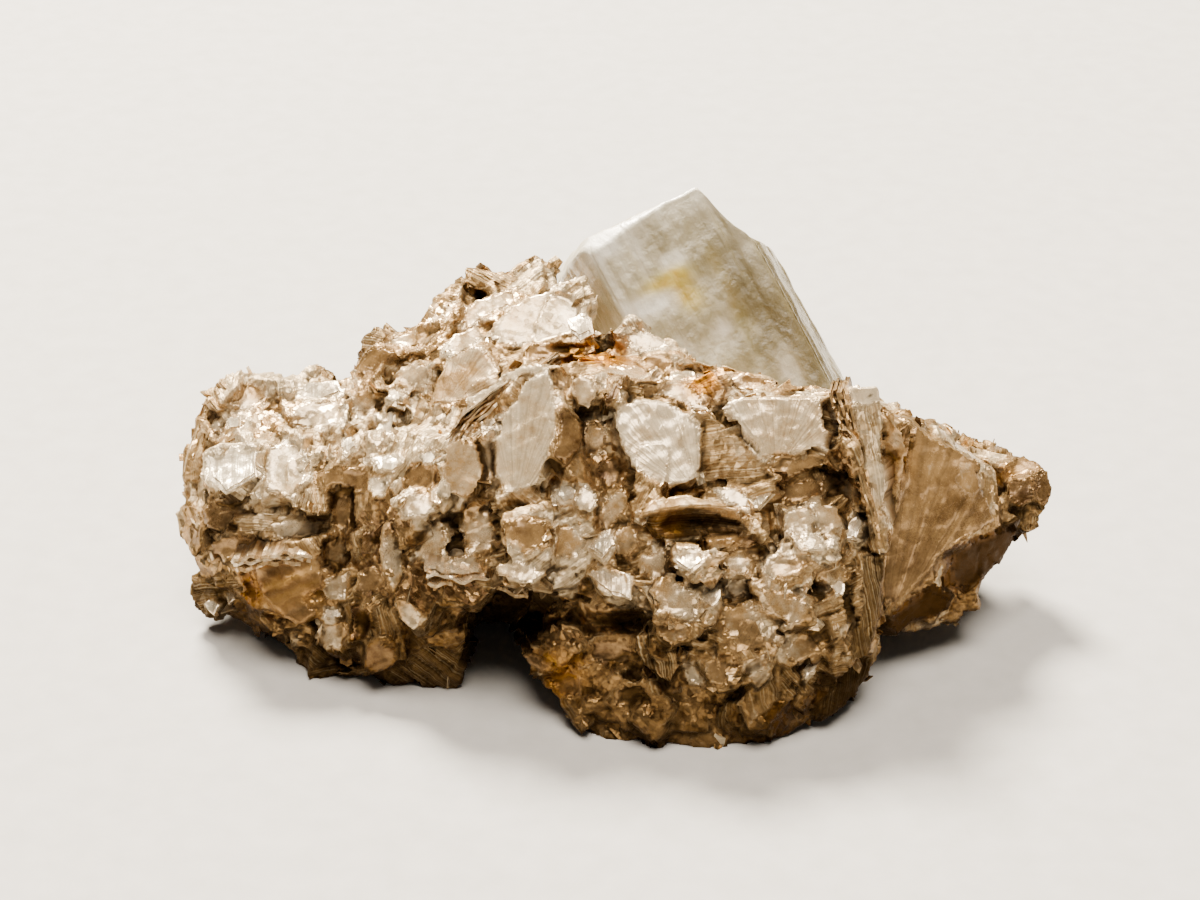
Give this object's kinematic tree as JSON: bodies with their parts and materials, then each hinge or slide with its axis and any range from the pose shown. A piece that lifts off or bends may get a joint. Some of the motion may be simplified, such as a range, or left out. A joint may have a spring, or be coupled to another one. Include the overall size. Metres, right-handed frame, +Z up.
{
  "type": "goshenite crystal on muscovite",
  "caption": "Loose mineral specimen: a clear to pale olive six-sided beryl prism rising from a lump of bronze and silver mica books, resting on small flat feet.",
  "frame": {"origin": "middle of the specimen's box, on the surface that it rests on", "axes": "+Z up, +X along the longest way to the narrow end, +Y from the bulging front to the crystal at the back"},
  "size_m": [0.0422, 0.0281, 0.0173],
  "materials": {
    "muscovite": "pearly cleavage sheets, tan to bronze, silver at the edges, rusty in the crevices",
    "goshenite": "natural crystal faces, finely striated along the prism, milky and frosted at the top"
  },
  "bodies": {
    "root": {"mica_matrix": "muscovite", "goshenite_crystal": "goshenite"}
  },
  "joints": []
}
